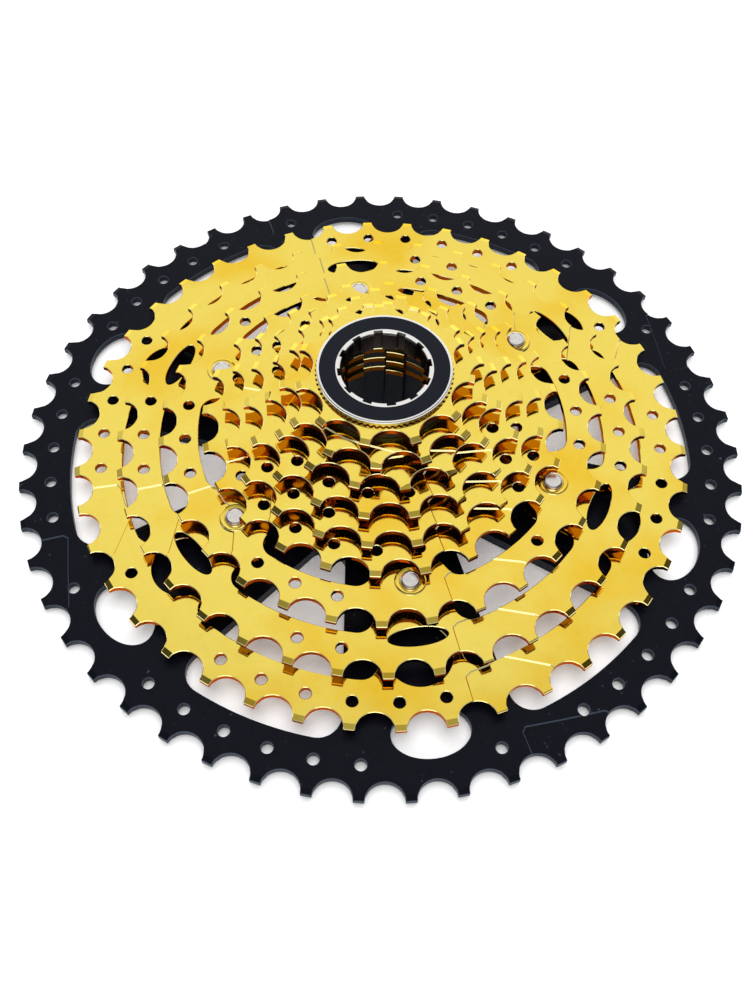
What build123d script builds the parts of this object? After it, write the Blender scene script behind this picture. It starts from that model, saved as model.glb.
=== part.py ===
"""Ten-speed bicycle cassette, 11 to 50 teeth, lying on its back face.

The four large cogs are riveted together on the spider of the largest one, whose hub boss has the splined
bore. The six small cogs slide onto the same splines with spacers between them, and a lock ring holds them.
The axis of rotation is Z, the back face is at Z = 0 and one spider arm points along +X. All sizes are in
millimetres and all angles in degrees.
"""

import os
from math import atan2, cos, degrees, hypot, pi, radians, sin

from build123d import *

# --- chain and teeth -----------------------------------------------------------------------------
link_pitch = 12.7
root_depth = 3.85  # bottom of a gap between teeth, in from the pitch circle
gap_sides = 4  # straight sides of the half oval between two tips
tip_width = 2.9  # flat tip of a tooth
tip_rise = 0.95  # tooth tips above the pitch circle
tip_bevel_run = 2.0  # outer faces slope off towards the tips over this length
tip_bevel_drop = 0.7

# --- stack ---------------------------------------------------------------------------------------
cog_spacing = 3.95  # outer face to outer face
cog_thickness = 1.8
rim_thickness = 2.2  # toothed rim of the large aluminium cog
spider_thickness = 3.4  # its arms stand back from the rim
riveted_cogs = 4
gap_between_cogs = cog_spacing - cog_thickness

# --- splined bore for the hub body ----------------------------------------------------------------
spline_count = 9
spline_minor = 16.0
spline_major = 17.3
groove_width = 6.0
index_groove_width = 4.2  # one narrower groove keys every cog the same way
hub_radius = 20.5
spacer_radius = 20.2
spline_clearance = 0.2  # spacers run this far outside the splines
last_spacer_radius = 18.4  # the smallest cog's spacer hides inside its tooth roots

# --- arms and rivets -----------------------------------------------------------------------------
arm_count = 6
rivet_circle_radius = 49.3
rivet_head_radius = 3.0
rivet_head_height = 1.4
pad_radius = 5.0  # round pads that space the riveted cogs
small_round_sides = 10  # sides of the small round forms that repeat
ring_sides = 32  # sides of the spacers, the washer, the lock ring and the hub boss
rim_sides = 48  # sides of the larger rims
tab_radius = 7.2  # rounded inner end of an arm, about its rivet
arm_half_width = 11.5  # where an arm meets the toothed rim
rim_width_42 = 8.4  # rims of the riveted cogs, from the tooth roots in
rim_width_36 = 7.2
rim_width_30 = 6.1

# --- large cog's spider --------------------------------------------------------------------------
large_rim_width = 9.5  # from the tooth roots in to the windows
window_inner_radius = 36.5
window_inner_half_width = 4.0
window_outer_half_width = 24.5
window_outer_fillet = 10.0
window_inner_fillet = 3.0
spider_radius = 79.0  # the thick arms end here

# --- ovals in the arms: centre, half length along the arm, half width -------------------------------
spider_eye = (85.4, 6.8, 10.1)
eye_42 = (69.0, 5.6, 8.6)
eye_36 = (63.0, 2.6, 7.8)

# --- ramps -----------------------------------------------------------------------------------------
ramp_depth = 0.35
ramp_length = 6.0  # how far a ramp runs in from the tooth roots

# --- lock ring -------------------------------------------------------------------------------------
washer_thickness = 0.5
washer_radius = 18.1
washer_clearance = 0.3
flange_thickness = 1.15
flange_radius = 17.75
flange_chamfer = 0.5
sleeve_radius = 15.2  # carries the thread
sleeve_length = 5.6
ring_bore = 11.7
tool_notches = 12
tool_notch_width = 2.4
tool_notch_depth = 0.95

os.makedirs("parts", exist_ok=True)


def pitch_radius(teeth):
    """Radius of the circle on which the chain's rollers sit."""
    return link_pitch / 2 / sin(pi / teeth)


def tip_radius(teeth):
    return pitch_radius(teeth) + tip_rise


def root_radius(teeth):
    return pitch_radius(teeth) - root_depth


def cog_top(level):
    """Height of a cog's outer face. Level 0 is the largest cog."""
    return spider_thickness + level * cog_spacing


def cog_bottom(level):
    return cog_top(level) - cog_thickness


def polar(radius, angle):
    return (radius * cos(radians(angle)), radius * sin(radians(angle)))


def reach(edge):
    """How far the middle of an edge lies from the axis."""
    middle = edge @ 0.5
    return hypot(middle.X, middle.Y)


def tooth_points(teeth, phase):
    """Corners of the toothed outline: each gap is half an oval from tip to tip. One tip is at phase."""
    tip = tip_radius(teeth)
    mouth = 180 / teeth - degrees(tip_width / 2 / tip)
    mouth_level, mouth_half_width = polar(tip, mouth)
    points = []
    for number in range(teeth):
        middle = phase + (number + 0.5) * 360 / teeth
        for side in range(gap_sides + 1):
            turn = radians(180 * side / gap_sides - 90)
            outward = mouth_level - (mouth_level - root_radius(teeth)) * cos(turn)
            across = mouth_half_width * sin(turn)
            points.append(polar(hypot(outward, across), middle + degrees(atan2(across, outward))))
    return points


def ramp_field(teeth, phase, ramps):
    """Plan of the shallow fields where the chain climbs, each from a start gap over some teeth."""
    step = 360 / teeth
    outside, root = tip_radius(teeth) + 1, root_radius(teeth)
    with BuildSketch() as field:
        for start, span in ramps:
            first = phase + (start + 0.5) * step
            last = first + span * step
            with BuildLine():
                Polyline(
                    polar(outside, first),
                    polar(root - ramp_length, first + 0.15 * step),
                    polar(root - 0.85 * ramp_length, last - 0.7 * step),
                    polar(root, last),
                    polar(outside, last),
                    close=True,
                )
            make_face()
    return field.sketch


def toothed_disc(teeth, phase, bottom, top, ramps=()):
    """Flat disc with teeth that slope off at their tips, and with ramps in its outer face."""
    with BuildPart() as disc:
        with BuildSketch(Plane.XY.offset(bottom)):
            Polygon(*tooth_points(teeth, phase), align=None)
        extrude(amount=top - bottom)
        outer_face = disc.faces().sort_by(Axis.Z)[-1]
        tips = [edge for edge in outer_face.edges() if reach(edge) > tip_radius(teeth) - 0.1]
        chamfer(tips, length=tip_bevel_run, length2=tip_bevel_drop, reference=outer_face)
        if ramps:
            with BuildSketch(Plane.XY.offset(top - ramp_depth)):
                add(ramp_field(teeth, phase, ramps))
            extrude(amount=ramp_depth, mode=Mode.SUBTRACT)
    return disc.part


def twice(ramps, teeth):
    """The same ramps again half a turn on."""
    return [(start + half, span) for half in (0, teeth // 2) for start, span in ramps]


def spline_bore():
    """Section of the hole that fits over the hub body's splines."""
    step = 360 / spline_count
    with BuildSketch() as bore:
        Circle(spline_minor)
        with Locations((0, 0)):
            Rectangle(spline_major, index_groove_width, align=(Align.MIN, Align.CENTER))
        with PolarLocations(0, spline_count - 1, step, 360 - 2 * step, endpoint=True):
            Rectangle(spline_major, groove_width, align=(Align.MIN, Align.CENTER))
    return bore.sketch


def oval(half_length, half_width):
    """Oval with few sides, its length along X."""
    turns = [2 * pi * side / small_round_sides for side in range(small_round_sides)]
    with BuildSketch() as shape:
        Polygon(*[(half_length * cos(turn), half_width * sin(turn)) for turn in turns], align=None)
    return shape.sketch


def ring_opening(inner_radius):
    """Inside of a riveted cog: a round opening less the arms that reach in to the rivets."""
    with BuildSketch() as arm:
        Polygon(
            (rivet_circle_radius, -tab_radius),
            (inner_radius + 1, -arm_half_width),
            (inner_radius + 1, arm_half_width),
            (rivet_circle_radius, tab_radius),
            align=None,
        )
        with Locations((rivet_circle_radius, 0)):
            RegularPolygon(tab_radius, small_round_sides)
    with BuildSketch() as opening:
        RegularPolygon(inner_radius, rim_sides, major_radius=False)
        with PolarLocations(0, arm_count):
            add(arm.sketch, mode=Mode.SUBTRACT)
    return opening.sketch


def spider_window():
    """One window of the spider, lying along X: narrow towards the hub, with large outer corners."""
    rim_inner_radius = root_radius(50) - large_rim_width
    with BuildSketch() as window:
        with BuildLine():
            Polyline(
                (window_inner_radius, -window_inner_half_width),
                (rim_inner_radius, -window_outer_half_width),
                (rim_inner_radius, window_outer_half_width),
                (window_inner_radius, window_inner_half_width),
                close=True,
            )
        make_face()
        fillet(window.vertices().group_by(Axis.X)[-1], window_outer_fillet)
        fillet(window.vertices().group_by(Axis.X)[0], window_inner_fillet)
    return window.sketch


def export_named(piece, label):
    piece.label = label
    export_step(piece, f"parts/{label}.step")


# --- large cog: toothed rim, spider and hub boss in one aluminium piece -----------------------------
large_ramps = twice([(-7, 1.5), (-20, 1)], 50)
with BuildPart() as sprocket_50:
    add(toothed_disc(50, 0.66, spider_thickness - rim_thickness, spider_thickness, large_ramps))
    with BuildSketch():
        RegularPolygon(spider_radius, rim_sides)
    extrude(amount=spider_thickness)
    with BuildSketch():
        with PolarLocations(0, arm_count, 180 / arm_count):
            add(spider_window())
        with PolarLocations(spider_eye[0], arm_count):
            add(oval(*spider_eye[1:]))
    extrude(amount=spider_thickness, mode=Mode.SUBTRACT)
    with BuildSketch():
        RegularPolygon(hub_radius, ring_sides)
    extrude(amount=cog_bottom(riveted_cogs))
    with BuildSketch():
        add(spline_bore())
    extrude(amount=cog_bottom(riveted_cogs), mode=Mode.SUBTRACT)
export_named(sprocket_50.part, "sprocket_50")


# --- riveted steel cogs: toothed rims with six arms --------------------------------------------------
def riveted_cog(label, teeth, phase, level, rim_width, ramps, eye=None):
    with BuildPart() as cog:
        add(toothed_disc(teeth, phase, cog_bottom(level), cog_top(level), twice(ramps, teeth)))
        with BuildSketch(Plane.XY.offset(cog_bottom(level))):
            add(ring_opening(root_radius(teeth) - rim_width))
            if eye:
                with PolarLocations(eye[0], arm_count):
                    add(oval(*eye[1:]))
        extrude(amount=cog_thickness, mode=Mode.SUBTRACT)
    export_named(cog.part, label)


riveted_cog("sprocket_42", 42, 3.52, 1, rim_width_42, [(-7, 2), (-18, 2)], eye_42)
riveted_cog("sprocket_36", 36, 3.0, 2, rim_width_36, [(-6, 2), (-15, 2)], eye_36)
riveted_cog("sprocket_30", 30, 3.6, 3, rim_width_30, [(-5, 2), (-12, 2)])


# --- pads between the riveted cogs, and the rivets' heads --------------------------------------------
def six_round(label, radius, bottom, height):
    """Six short round pieces, one on each arm at the rivet circle."""
    with BuildPart() as pieces:
        with BuildSketch(Plane.XY.offset(bottom)):
            with PolarLocations(rivet_circle_radius, arm_count):
                RegularPolygon(radius, small_round_sides)
        extrude(amount=height)
    export_named(pieces.part, label)


for level, label in enumerate(("pads_50_42", "pads_42_36", "pads_36_30")):
    six_round(label, pad_radius, cog_top(level), gap_between_cogs)
six_round("rivets", rivet_head_radius, cog_top(riveted_cogs - 1), rivet_head_height)


# --- loose cogs on the splines ----------------------------------------------------------------------
def loose_cog(teeth, phase, level, ramps, windows=None):
    """A one-piece cog. Its windows are an inner radius, an outer radius and the width of the spokes."""
    with BuildPart() as cog:
        add(toothed_disc(teeth, phase, cog_bottom(level), cog_top(level), ramps))
        with BuildSketch(Plane.XY.offset(cog_bottom(level))):
            add(spline_bore())
            if windows:
                with BuildSketch(mode=Mode.PRIVATE) as ring:
                    RegularPolygon(windows[1], rim_sides)
                    RegularPolygon(windows[0], rim_sides, mode=Mode.SUBTRACT)
                    with PolarLocations(0, arm_count):
                        Rectangle(windows[1], windows[2], align=(Align.MIN, Align.CENTER), mode=Mode.SUBTRACT)
                add(ring.sketch)
        extrude(amount=cog_thickness, mode=Mode.SUBTRACT)
    export_named(cog.part, f"sprocket_{teeth}")


loose_cog(24, 4.55, 4, twice([(-4, 2), (-10, 2)], 24), (26.0, 37.0, 7.0))
loose_cog(21, 12.05, 5, [(-4, 2), (3, 2), (10, 2)])
loose_cog(18, 4.1, 6, twice([(-3, 2)], 18))
loose_cog(15, 13.8, 7, [(1, 2), (6, 2), (11, 2)])
loose_cog(13, 10.5, 8, [(2, 2), (8, 2)])
loose_cog(11, 17.4, 9, [])

loose_teeth = (24, 21, 18, 15, 13, 11)
spacer_bore = spline_major + spline_clearance
for level, below, above in zip(range(riveted_cogs, riveted_cogs + 5), loose_teeth, loose_teeth[1:]):
    outer_radius = last_spacer_radius if above == loose_teeth[-1] else spacer_radius
    with BuildPart() as spacer:
        with BuildSketch(Plane.XY.offset(cog_top(level))):
            RegularPolygon(outer_radius, ring_sides)
            RegularPolygon(spacer_bore, ring_sides, major_radius=False, mode=Mode.SUBTRACT)
        extrude(amount=gap_between_cogs)
    export_named(spacer.part, f"spacer_{below}_{above}")

# --- lock ring and the washer under it ----------------------------------------------------------------
stack_top = cog_top(riveted_cogs + 5)
with BuildPart() as lockring_washer:
    with BuildSketch(Plane.XY.offset(stack_top)):
        RegularPolygon(washer_radius, ring_sides)
        RegularPolygon(sleeve_radius + washer_clearance, ring_sides, major_radius=False, mode=Mode.SUBTRACT)
    extrude(amount=washer_thickness)
export_named(lockring_washer.part, "lockring_washer")

flange_bottom = stack_top + washer_thickness
flange_top = flange_bottom + flange_thickness
with BuildPart() as lockring:
    with BuildSketch(Plane.XY.offset(flange_bottom - sleeve_length)):
        RegularPolygon(sleeve_radius, ring_sides)
    extrude(amount=sleeve_length)
    with BuildSketch(Plane.XY.offset(flange_bottom)):
        RegularPolygon(flange_radius, ring_sides)
    extrude(amount=flange_thickness)
    chamfer(lockring.edges().group_by(Axis.Z)[-1], flange_chamfer)
    with BuildSketch(Plane.XY.offset(flange_bottom - sleeve_length)):
        RegularPolygon(ring_bore, 4 * tool_notches)
        with PolarLocations(0, tool_notches):
            Rectangle(ring_bore + tool_notch_depth, tool_notch_width, align=(Align.MIN, Align.CENTER))
    extrude(amount=sleeve_length + flange_thickness, mode=Mode.SUBTRACT)
export_named(lockring.part, "lockring")
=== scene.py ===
"""Looks of a ten-speed bicycle cassette: pressed gold cogs, black spider cog, spacers and lock ring.

Everything turns about Z, lies on its back face at Z = 0 and has one spider arm along +X.
Lengths are in metres.
"""

import math

import bmesh
import bpy
from mathutils import Matrix, Vector


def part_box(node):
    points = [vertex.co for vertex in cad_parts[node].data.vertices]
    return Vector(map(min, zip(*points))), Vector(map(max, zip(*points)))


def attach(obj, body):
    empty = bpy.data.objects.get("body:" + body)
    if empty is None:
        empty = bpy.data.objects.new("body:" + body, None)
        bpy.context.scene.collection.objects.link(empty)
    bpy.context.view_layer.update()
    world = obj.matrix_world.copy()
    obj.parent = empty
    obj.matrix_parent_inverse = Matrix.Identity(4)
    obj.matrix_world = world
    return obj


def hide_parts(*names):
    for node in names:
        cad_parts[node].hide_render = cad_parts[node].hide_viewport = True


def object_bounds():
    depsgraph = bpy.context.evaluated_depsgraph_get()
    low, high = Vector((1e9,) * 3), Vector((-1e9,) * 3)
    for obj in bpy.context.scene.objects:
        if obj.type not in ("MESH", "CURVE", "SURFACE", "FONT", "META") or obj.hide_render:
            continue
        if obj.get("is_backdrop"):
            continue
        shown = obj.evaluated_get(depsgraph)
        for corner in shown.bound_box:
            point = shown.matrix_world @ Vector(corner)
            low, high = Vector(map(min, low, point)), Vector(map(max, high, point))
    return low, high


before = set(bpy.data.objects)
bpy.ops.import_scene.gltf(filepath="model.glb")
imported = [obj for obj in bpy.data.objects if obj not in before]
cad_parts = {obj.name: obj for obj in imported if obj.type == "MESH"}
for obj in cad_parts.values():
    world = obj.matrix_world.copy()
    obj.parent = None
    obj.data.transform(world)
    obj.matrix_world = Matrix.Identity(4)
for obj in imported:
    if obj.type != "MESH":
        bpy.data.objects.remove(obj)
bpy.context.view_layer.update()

# ---------------------------------------------------------------------------------------------------
# Gold cogs. Each is pressed from 1.8 mm steel sheet: a ring of teeth for half-inch chain, tips coined off
# on the outer face, shallow ramps where the chain climbs and small pin holes under some of the teeth.
# The plate is then polished and coated with titanium nitride.
# ---------------------------------------------------------------------------------------------------
mm = 0.001
link_pitch = 12.7 * mm
seat_radius = 3.85 * mm
tip_rise = 0.95 * mm
tip_width = 2.9 * mm
tip_bevel_run = 1.5 * mm
tip_bevel_drop = 0.5 * mm
ramp_depth = 0.38 * mm
ramp_reach = 9.0 * mm
stack_radius = 20.8 * mm
points_per_tooth = 18
arm_count = 6


class Number:
    """A number inside a node tree, so that a formula for nodes reads as a formula."""

    def __init__(self, tree, socket):
        self.tree, self.socket = tree, socket

    def calc(self, operation, *values):
        node = self.tree.nodes.new("ShaderNodeMath")
        node.operation = operation
        fill_inputs(self.tree, node, values)
        return Number(self.tree, node.outputs[0])

    def __add__(self, other):
        return self.calc("ADD", self, other)

    def __sub__(self, other):
        return self.calc("SUBTRACT", self, other)

    def __rsub__(self, other):
        return self.calc("SUBTRACT", other, self)

    def __mul__(self, other):
        return self.calc("MULTIPLY", self, other)

    def __truediv__(self, other):
        return self.calc("DIVIDE", self, other)

    def __rtruediv__(self, other):
        return self.calc("DIVIDE", other, self)

    __radd__, __rmul__ = __add__, __mul__

    def __lt__(self, other):
        return self.calc("LESS_THAN", self, other)

    def __gt__(self, other):
        return self.calc("GREATER_THAN", self, other)

    def __mod__(self, other):
        return self.calc("FLOORED_MODULO", self, other)

    def __abs__(self):
        return self.calc("ABSOLUTE", self)

    def __getattr__(self, name):
        """Any other operation by its name, such as angle.sine() or width.minimum(limit)."""
        if name.startswith("_"):
            raise AttributeError(name)
        return lambda *values: self.calc(name.upper(), self, *values)


def give(tree, value, socket):
    """Links or sets one input. None leaves it as it is."""
    if isinstance(value, Number):
        tree.links.new(value.socket, socket)
    elif isinstance(value, bpy.types.NodeSocket):
        tree.links.new(value, socket)
    elif value is not None:
        socket.default_value = value


def fill_inputs(tree, node, values):
    """Gives values to a node's visible inputs, in order."""
    for socket, value in zip([socket for socket in node.inputs if socket.enabled], values):
        give(tree, value, socket)


def add_node(tree, kind, *values, **settings):
    """Adds a node with its settings and inputs, and gives its first output."""
    node = tree.nodes.new(kind)
    for name, value in settings.items():
        setattr(node, name, value)
    fill_inputs(tree, node, values)
    return next(socket for socket in node.outputs if socket.enabled)


def new_tree(name, **inputs):
    """An empty geometry tree with named inputs, and those inputs by name."""
    tree = bpy.data.node_groups.new(name, "GeometryNodeTree")
    kinds = {
        "geometry": "NodeSocketGeometry",
        "whole": "NodeSocketInt",
        "length": "NodeSocketFloat",
        "material": "NodeSocketMaterial",
    }
    for label, kind in inputs.items():
        tree.interface.new_socket(label.replace("_", " "), in_out="INPUT", socket_type=kinds[kind])
    tree.interface.new_socket("Geometry", in_out="OUTPUT", socket_type="NodeSocketGeometry")
    entry = tree.nodes.new("NodeGroupInput")
    sockets = {}
    for (label, kind), socket in zip(inputs.items(), entry.outputs):
        sockets[label] = Number(tree, socket) if kind in ("whole", "length") else socket
    return tree, sockets


def end_tree(tree, result):
    """Sends the result to the tree's output."""
    tree.links.new(result, tree.nodes.new("NodeGroupOutput").inputs[0])


def use_group(tree, group, *values):
    """Places a group inside another tree, with its inputs filled in order."""
    return add_node(tree, "GeometryNodeGroup", *values, node_tree=group)


def use_sized(tree, group, size, labels):
    """Places a group that takes the labelled sizes, in their order."""
    return use_group(tree, group, *(size[label] for label in labels))


def join(tree, *parts):
    node = tree.nodes.new("GeometryNodeJoinGeometry")
    for part in reversed(parts):
        tree.links.new(part, node.inputs[0])
    return node.outputs[0]


def combine(tree, operation, *parts):
    """Union of parts, or the first part less the others."""
    node = tree.nodes.new("GeometryNodeMeshBoolean")
    node.operation, node.solver = operation, "EXACT"
    first = 0
    if operation == "DIFFERENCE":
        tree.links.new(parts[0], node.inputs["Mesh 1"])
        first = 1
    for part in parts[first:]:
        tree.links.new(part, node.inputs["Mesh 2"])
    return node.outputs["Mesh"]


def vector(tree, x, y, z=0.0):
    return add_node(tree, "ShaderNodeCombineXYZ", x, y, z)


def split_vector(tree, place):
    """The three parts of a vector."""
    node = tree.nodes.new("ShaderNodeSeparateXYZ")
    tree.links.new(place, node.inputs[0])
    return [Number(tree, part) for part in node.outputs]


def index_number(tree):
    return Number(tree, add_node(tree, "GeometryNodeInputIndex"))


def circle_line(tree, sides, radius):
    return add_node(tree, "GeometryNodeCurvePrimitiveCircle", sides, radius)


def closed_line(tree, count, x, y):
    """A closed line of count points, each placed by its index."""
    circle = circle_line(tree, count, None)
    return add_node(tree, "GeometryNodeSetPosition", circle, None, vector(tree, x, y))


def raised(tree, shape, height):
    return add_node(tree, "GeometryNodeSetPosition", shape, None, None, vector(tree, 0.0, 0.0, height))


def slab(tree, face, thickness):
    """Closed solid made by drawing a flat face upwards."""
    upward, same_corner = vector(tree, 0.0, 0.0, 1.0), 1e-6
    drawn = add_node(tree, "GeometryNodeExtrudeMesh", face, None, upward, thickness, False)
    closed = join(tree, drawn, add_node(tree, "GeometryNodeFlipFaces", face))
    return add_node(tree, "GeometryNodeMergeByDistance", closed, None, same_corner)


def rounded_line(tree, line, steps, radius):
    """A line with rounded corners, where the radius is above 0."""
    return add_node(tree, "GeometryNodeFilletCurve", line, steps, radius, True, mode="POLY")


def with_material(tree, shape, material):
    return add_node(tree, "GeometryNodeSetMaterial", shape, None, material)


def turned(x, y, angle):
    """Coordinates of a point turned about Z."""
    sine, cosine = angle.sine(), angle.cosine()
    return x * cosine - y * sine, x * sine + y * cosine


def tooth_line_tree():
    """Line round the teeth: each gap is half an oval from tip corner to tip corner.

    On either side of a gap's middle six points go round its bottom. The next one lies where the bevel of
    the tip begins, and two more lead to the tip's corner.
    """
    tree, size = new_tree("Tooth line", **tooth_line_sizes)
    index = index_number(tree)
    step = 2 * math.pi / size["Teeth"]
    middle = size["First_tip"] + ((index / points_per_tooth).floor() + 0.5) * step
    side = index % points_per_tooth - (points_per_tooth - 1) / 2
    near = abs(side)
    tip = size["Pitch_radius"] + size["Tip_rise"]
    mouth = step / 2 - size["Tip_width"] / 2 / tip
    depth = tip * mouth.cosine() - size["Pitch_radius"] + size["Seat_radius"]
    bevel_turn = (size["Bevel_run"] / depth).arccosine()
    bottom_turn, bottom_steps, bevel_point = math.radians(57), 6, 6.5
    turn = near.minimum(bottom_steps) / bottom_steps * bottom_turn
    turn = turn + (bevel_turn - bottom_turn) * (near - (bevel_point - 1)).maximum(0.0).minimum(1.0)
    turn = turn + (math.pi / 2 - bevel_turn) * (near - bevel_point).maximum(0.0) / 2
    outward = tip * mouth.cosine() - depth * turn.cosine()
    across = tip * mouth.sine() * turn.sine() * side.sign()
    end_tree(tree, closed_line(tree, size["Teeth"] * points_per_tooth, *turned(outward, across, middle)))
    return tree


def polar_copies_tree():
    """Copies of a shape turned about Z in equal steps."""
    tree, size = new_tree("Polar copies", Shape="geometry", Count="whole", Start="length")
    turn = size["Start"] + index_number(tree) * (2 * math.pi) / size["Count"]
    points = add_node(tree, "GeometryNodePoints", size["Count"])
    turns = vector(tree, 0.0, 0.0, turn)
    copies = add_node(tree, "GeometryNodeInstanceOnPoints", points, None, size["Shape"], None, None, turns)
    end_tree(tree, add_node(tree, "GeometryNodeRealizeInstances", copies))
    return tree


def plate_tree():
    """Sheet cut along closed lines, with bevelled tips.

    The marks' loose points become pin holes, and their faces are sunk into the outer face as ramps.
    """
    tree, size = new_tree(
        "Cut plate", Lines="geometry", Marks="geometry", Bottom="length", Thickness="length",
        Tip_radius="length", Bevel_run="length", Bevel_drop="length", Ramp_depth="length",
        Pin_hole_radius="length",
    )
    hole_sides = 20
    faces_here = Number(tree, tree.nodes.new("GeometryNodeInputMeshVertexNeighbors").outputs["Face Count"])
    hole = circle_line(tree, hole_sides, size["Pin_hole_radius"])
    holes = add_node(tree, "GeometryNodeInstanceOnPoints", size["Marks"], faces_here < 0.5, hole)
    lines = join(tree, size["Lines"], add_node(tree, "GeometryNodeRealizeInstances", holes))
    flat = raised(tree, add_node(tree, "GeometryNodeFillCurve", lines), size["Bottom"])
    plate = slab(tree, flat, size["Thickness"])
    x, y, z = split_vector(tree, add_node(tree, "GeometryNodeInputPosition"))
    beyond = (x * x + y * y).sqrt() - size["Tip_radius"] + size["Bevel_run"]
    outer_face = z > size["Bottom"] + size["Thickness"] * 0.5
    drop = beyond.maximum(0.0) / size["Bevel_run"] * size["Bevel_drop"] * outer_face
    plate = raised(tree, plate, drop * -1)

    ramps = add_node(tree, "GeometryNodeDeleteGeometry", size["Marks"], faces_here < 0.5)
    ramps = raised(tree, ramps, size["Bottom"] + size["Thickness"] - size["Ramp_depth"])
    cutter = slab(tree, ramps, size["Ramp_depth"] * 3)
    end_tree(tree, combine(tree, "DIFFERENCE", plate, cutter))
    return tree


def plain_plate_tree():
    """Sheet cut along closed lines."""
    tree, size = new_tree("Plain plate", Lines="geometry", Bottom="length", Thickness="length")
    flat = raised(tree, add_node(tree, "GeometryNodeFillCurve", size["Lines"]), size["Bottom"])
    end_tree(tree, slab(tree, flat, size["Thickness"]))
    return tree


def splined_bore_tree():
    """Line of the bore: nine grooves for the hub body's splines, the first one narrower.

    Four of the ten points of a spline lie on its groove and six on the lands beside it.
    """
    tree, size = new_tree("Splined bore", **bore_sizes)
    index, points = index_number(tree), 10
    spline = (index / points).floor()
    side = index % points - (points - 1) / 2
    near = abs(side)
    wider = (size["Groove_width"] - size["First_groove_width"]) * (spline > 0.5)
    half_width = (size["First_groove_width"] + wider) / 2
    in_groove = near < 2
    radius = size["Minor_radius"] + (size["Major_radius"] - size["Minor_radius"]) * in_groove
    edge = (half_width / radius).arcsine()
    half_step = math.pi / size["Splines"]
    land = (near - 2.5).maximum(0.0) / 2.5
    angle = (edge * (near / 1.5).minimum(1.0) + (half_step - edge) * land) * side.sign()
    angle = angle + spline * half_step * 2
    x, y = radius * angle.cosine(), radius * angle.sine()
    end_tree(tree, closed_line(tree, size["Splines"] * points, x, y))
    return tree


def oval_tree():
    """Oval hole, its centre out along X."""
    tree, size = new_tree("Oval", Centre="length", Half_length="length", Half_width="length")
    points = 48
    turn = index_number(tree) * (2 * math.pi / points)
    x = size["Centre"] + size["Half_length"] * turn.cosine()
    end_tree(tree, closed_line(tree, points, x, size["Half_width"] * turn.sine()))
    return tree


def ring_opening_tree():
    """Inside line of a riveted cog: rim, and arms that reach in to round ends at the rivets.

    Of an arm's twelve points two are the corners of its end, two its roots, and the others lie on the rim.
    """
    tree, size = new_tree("Ring opening", **arm_sizes)
    index, points, fillet_steps = index_number(tree), 12, 10
    arm = (index / points).floor()
    side = index % points - (points - 1) / 2
    near = abs(side)
    half_step = math.pi / size["Arms"]
    corner = (size["Arm_half_width"] / size["Rim_radius"]).arcsine()
    on_rim = near > 1
    rim_angle = corner + (half_step - corner) * (near - 1.5).maximum(0.0) / 4.5
    end_x, end_y = size["Rivet_circle"] - size["Tab_radius"], size["Tab_radius"]
    x = size["Rim_radius"] * rim_angle.cosine() * on_rim + end_x * (1 - on_rim)
    y = (size["Rim_radius"] * rim_angle.sine() * on_rim + end_y * (1 - on_rim)) * side.sign()
    line = closed_line(tree, size["Arms"] * points, *turned(x, y, arm * half_step * 2))
    fillet = size["Tab_radius"] * (near < 1) + size["Fillet"] * (near > 1) * (near < 2)
    end_tree(tree, rounded_line(tree, line, fillet_steps, fillet))
    return tree


def kidney_windows_tree():
    """Windows between straight spokes: an outer arc, an inner arc and rounded corners."""
    tree, size = new_tree(
        "Kidney windows", Arms="whole", Inner_radius="length", Outer_radius="length", Spoke_width="length",
        Fillet="length",
    )
    index, points, fillet_steps = index_number(tree), 16, 6
    outer = index < points / 2
    radius = size["Inner_radius"] + (size["Outer_radius"] - size["Inner_radius"]) * outer
    half_angle = math.pi / size["Arms"] - (size["Spoke_width"] / 2 / radius).arcsine()
    share = (index % (points / 2)) / (points / 2 - 1) * 2 - 1
    angle = math.pi / size["Arms"] + half_angle * share * (outer * 2 - 1)
    line = closed_line(tree, points, radius * angle.cosine(), radius * angle.sine())
    corner = abs(share) > 0.99
    line = rounded_line(tree, line, fillet_steps, size["Fillet"] * corner)
    end_tree(tree, use_group(tree, polar_copies, line, size["Arms"], 0.0))
    return tree


tooth_line_sizes = dict(
    Teeth="whole", First_tip="length", Pitch_radius="length", Seat_radius="length", Tip_rise="length",
    Tip_width="length", Bevel_run="length",
)
bore_sizes = dict(
    Splines="whole", Minor_radius="length", Major_radius="length", Groove_width="length",
    First_groove_width="length",
)
arm_sizes = dict(
    Arms="whole", Rim_radius="length", Arm_half_width="length", Rivet_circle="length", Tab_radius="length",
    Fillet="length",
)
eye_sizes = dict(Eye_centre="length", Eye_half_length="length", Eye_half_width="length")
kidney_sizes = dict(
    Arms="whole", Window_inner_radius="length", Window_outer_radius="length", Spoke_width="length",
    Fillet="length",
)
tooth_line, polar_copies, cut_plate = tooth_line_tree(), polar_copies_tree(), plate_tree()
splined_bore, oval, ring_opening = splined_bore_tree(), oval_tree(), ring_opening_tree()
kidney_windows, plain_plate = kidney_windows_tree(), plain_plate_tree()


def pitch_radius(teeth):
    return link_pitch / 2 / math.sin(math.pi / teeth)


def polar(radius, angle):
    return (radius * math.cos(angle), radius * math.sin(angle), 0.0)


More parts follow.
